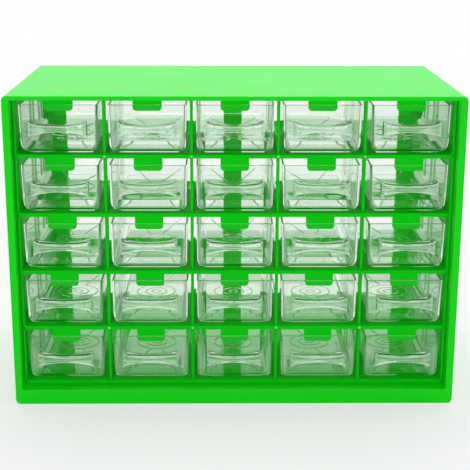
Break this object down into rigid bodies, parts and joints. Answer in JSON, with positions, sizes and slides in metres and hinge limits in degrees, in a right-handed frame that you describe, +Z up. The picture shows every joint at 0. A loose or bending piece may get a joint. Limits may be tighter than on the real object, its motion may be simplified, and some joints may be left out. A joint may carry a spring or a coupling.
{
  "type": "parts bin cabinet",
  "caption": "Open-fronted plastic cabinet with a lattice of shelves and posts holding rows of clear pull-out drawers, each stopped by a tab, with windows in its back wall.",
  "frame": {"origin": "centre of the casing's underside, on the surface it stands on", "axes": "+X to the cabinet's right seen from the front, +Y from the open front to the back, +Z up"},
  "size_m": [0.3, 0.1586, 0.2125],
  "materials": {
    "casing_plastic": "satin moulded green plastic",
    "lattice_plastic": "glossy moulded green plastic",
    "clear_plastic": "polished clear polystyrene"
  },
  "bodies": {
    "cabinet": {"casing": "casing_plastic", "divider_lattice": "lattice_plastic"},
    "drawer_r1_c1": {"drawer_r1_c1": "clear_plastic"},
    "drawer_r1_c2": {"drawer_r1_c2": "clear_plastic"},
    "drawer_r1_c3": {"drawer_r1_c3": "clear_plastic"},
    "drawer_r1_c4": {"drawer_r1_c4": "clear_plastic"},
    "drawer_r1_c5": {"drawer_r1_c5": "clear_plastic"},
    "drawer_r2_c1": {"drawer_r2_c1": "clear_plastic"},
    "drawer_r2_c2": {"drawer_r2_c2": "clear_plastic"},
    "drawer_r2_c3": {"drawer_r2_c3": "clear_plastic"},
    "drawer_r2_c4": {"drawer_r2_c4": "clear_plastic"},
    "drawer_r2_c5": {"drawer_r2_c5": "clear_plastic"},
    "drawer_r3_c1": {"drawer_r3_c1": "clear_plastic"},
    "drawer_r3_c2": {"drawer_r3_c2": "clear_plastic"},
    "drawer_r3_c3": {"drawer_r3_c3": "clear_plastic"},
    "drawer_r3_c4": {"drawer_r3_c4": "clear_plastic"},
    "drawer_r3_c5": {"drawer_r3_c5": "clear_plastic"},
    "drawer_r4_c1": {"drawer_r4_c1": "clear_plastic"},
    "drawer_r4_c2": {"drawer_r4_c2": "clear_plastic"},
    "drawer_r4_c3": {"drawer_r4_c3": "clear_plastic"},
    "drawer_r4_c4": {"drawer_r4_c4": "clear_plastic"},
    "drawer_r4_c5": {"drawer_r4_c5": "clear_plastic"},
    "drawer_r5_c1": {"drawer_r5_c1": "clear_plastic"},
    "drawer_r5_c2": {"drawer_r5_c2": "clear_plastic"},
    "drawer_r5_c3": {"drawer_r5_c3": "clear_plastic"},
    "drawer_r5_c4": {"drawer_r5_c4": "clear_plastic"},
    "drawer_r5_c5": {"drawer_r5_c5": "clear_plastic"}
  },
  "joints": [
    {"name": "drawer_r1_c1_slide", "type": "slide", "parent": "cabinet", "child": "drawer_r1_c1", "axis": [0, -1, 0], "range_m": [0, 0.1393]},
    {"name": "drawer_r1_c2_slide", "type": "slide", "parent": "cabinet", "child": "drawer_r1_c2", "axis": [0, -1, 0], "range_m": [0, 0.1393]},
    {"name": "drawer_r1_c3_slide", "type": "slide", "parent": "cabinet", "child": "drawer_r1_c3", "axis": [0, -1, 0], "range_m": [0, 0.1393]},
    {"name": "drawer_r1_c4_slide", "type": "slide", "parent": "cabinet", "child": "drawer_r1_c4", "axis": [0, -1, 0], "range_m": [0, 0.1393]},
    {"name": "drawer_r1_c5_slide", "type": "slide", "parent": "cabinet", "child": "drawer_r1_c5", "axis": [0, -1, 0], "range_m": [0, 0.1393]},
    {"name": "drawer_r2_c1_slide", "type": "slide", "parent": "cabinet", "child": "drawer_r2_c1", "axis": [0, -1, 0], "range_m": [0, 0.1393]},
    {"name": "drawer_r2_c2_slide", "type": "slide", "parent": "cabinet", "child": "drawer_r2_c2", "axis": [0, -1, 0], "range_m": [0, 0.1393]},
    {"name": "drawer_r2_c3_slide", "type": "slide", "parent": "cabinet", "child": "drawer_r2_c3", "axis": [0, -1, 0], "range_m": [0, 0.1393]},
    {"name": "drawer_r2_c4_slide", "type": "slide", "parent": "cabinet", "child": "drawer_r2_c4", "axis": [0, -1, 0], "range_m": [0, 0.1393]},
    {"name": "drawer_r2_c5_slide", "type": "slide", "parent": "cabinet", "child": "drawer_r2_c5", "axis": [0, -1, 0], "range_m": [0, 0.1393]},
    {"name": "drawer_r3_c1_slide", "type": "slide", "parent": "cabinet", "child": "drawer_r3_c1", "axis": [0, -1, 0], "range_m": [0, 0.1393]},
    {"name": "drawer_r3_c2_slide", "type": "slide", "parent": "cabinet", "child": "drawer_r3_c2", "axis": [0, -1, 0], "range_m": [0, 0.1393]},
    {"name": "drawer_r3_c3_slide", "type": "slide", "parent": "cabinet", "child": "drawer_r3_c3", "axis": [0, -1, 0], "range_m": [0, 0.1393]},
    {"name": "drawer_r3_c4_slide", "type": "slide", "parent": "cabinet", "child": "drawer_r3_c4", "axis": [0, -1, 0], "range_m": [0, 0.1393]},
    {"name": "drawer_r3_c5_slide", "type": "slide", "parent": "cabinet", "child": "drawer_r3_c5", "axis": [0, -1, 0], "range_m": [0, 0.1393]},
    {"name": "drawer_r4_c1_slide", "type": "slide", "parent": "cabinet", "child": "drawer_r4_c1", "axis": [0, -1, 0], "range_m": [0, 0.1393]},
    {"name": "drawer_r4_c2_slide", "type": "slide", "parent": "cabinet", "child": "drawer_r4_c2", "axis": [0, -1, 0], "range_m": [0, 0.1393]},
    {"name": "drawer_r4_c3_slide", "type": "slide", "parent": "cabinet", "child": "drawer_r4_c3", "axis": [0, -1, 0], "range_m": [0, 0.1393]},
    {"name": "drawer_r4_c4_slide", "type": "slide", "parent": "cabinet", "child": "drawer_r4_c4", "axis": [0, -1, 0], "range_m": [0, 0.1393]},
    {"name": "drawer_r4_c5_slide", "type": "slide", "parent": "cabinet", "child": "drawer_r4_c5", "axis": [0, -1, 0], "range_m": [0, 0.1393]},
    {"name": "drawer_r5_c1_slide", "type": "slide", "parent": "cabinet", "child": "drawer_r5_c1", "axis": [0, -1, 0], "range_m": [0, 0.1393]},
    {"name": "drawer_r5_c2_slide", "type": "slide", "parent": "cabinet", "child": "drawer_r5_c2", "axis": [0, -1, 0], "range_m": [0, 0.1393]},
    {"name": "drawer_r5_c3_slide", "type": "slide", "parent": "cabinet", "child": "drawer_r5_c3", "axis": [0, -1, 0], "range_m": [0, 0.1393]},
    {"name": "drawer_r5_c4_slide", "type": "slide", "parent": "cabinet", "child": "drawer_r5_c4", "axis": [0, -1, 0], "range_m": [0, 0.1393]},
    {"name": "drawer_r5_c5_slide", "type": "slide", "parent": "cabinet", "child": "drawer_r5_c5", "axis": [0, -1, 0], "range_m": [0, 0.1393]}
  ]
}
